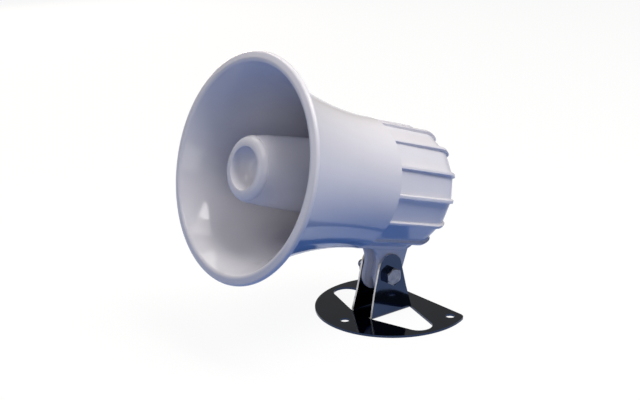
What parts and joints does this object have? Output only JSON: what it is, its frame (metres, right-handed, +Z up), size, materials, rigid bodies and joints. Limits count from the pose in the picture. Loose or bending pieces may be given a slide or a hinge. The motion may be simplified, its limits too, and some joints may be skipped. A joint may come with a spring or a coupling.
{
  "type": "pa horn speaker",
  "caption": "Small re-entrant horn speaker: flared bell with a dished reflector tube and ribbed driver housing, tilting on a folded steel foot bracket.",
  "frame": {"origin": "on the foot plate's underside, straight below the pivot bolt, in the symmetry plane", "axes": "+Z up out of the plate, +X along the pivot bolt towards its head, the horn looks towards -Y"},
  "size_m": [0.141, 0.1695, 0.1884],
  "materials": {
    "white_moulding": "moulded ABS, satin gloss",
    "black_moulding": "moulded, matt",
    "laminate": "phenolic paper laminate",
    "dark_plating": "black nickel plating, polished",
    "bright_plating": "zinc plated",
    "rubber": "matt",
    "dome_film": "resin-bonded cloth",
    "former_foil": "bare",
    "copper_wire": "enamelled copper winding",
    "passivated_steel": "yellow passivated",
    "ferrite": "sintered, ground faces",
    "tinned_brass": "tinned"
  },
  "bodies": {
    "foot": {"bracket": "dark_plating", "pivot_bolt": "bright_plating", "lock_washer": "bright_plating", "pivot_nut": "bright_plating"},
    "horn": {"board_rivets": "former_foil", "cable_grommet": "rubber", "cover_screws": "bright_plating", "cover_seal": "rubber", "driver_gasket": "rubber", "horn_bell": "white_moulding", "magnet": "ferrite", "phase_plate": "black_moulding", "pole_yoke": "passivated_steel", "rear_cover": "white_moulding", "reflector": "white_moulding", "reflector_screws": "bright_plating", "surround": "dome_film", "terminal_board": "laminate", "terminal_tags": "tinned_brass", "throat_tube": "black_moulding", "top_plate": "passivated_steel"},
    "diaphragm": {"dome": "dome_film", "coil_former": "former_foil", "voice_coil": "copper_wire"}
  },
  "joints": [
    {"name": "horn_tilt", "type": "hinge", "parent": "foot", "child": "horn", "pos_m": [0, 0, 0.0279], "axis": [-1, 0, 0], "range_deg": [-60, 72]},
    {"name": "diaphragm_stroke", "type": "slide", "parent": "horn", "child": "diaphragm", "axis": [0, 0.9583, -0.2857], "range_m": [-0.0003, 0.0003], "stiffness_N_per_m": 2000}
  ]
}
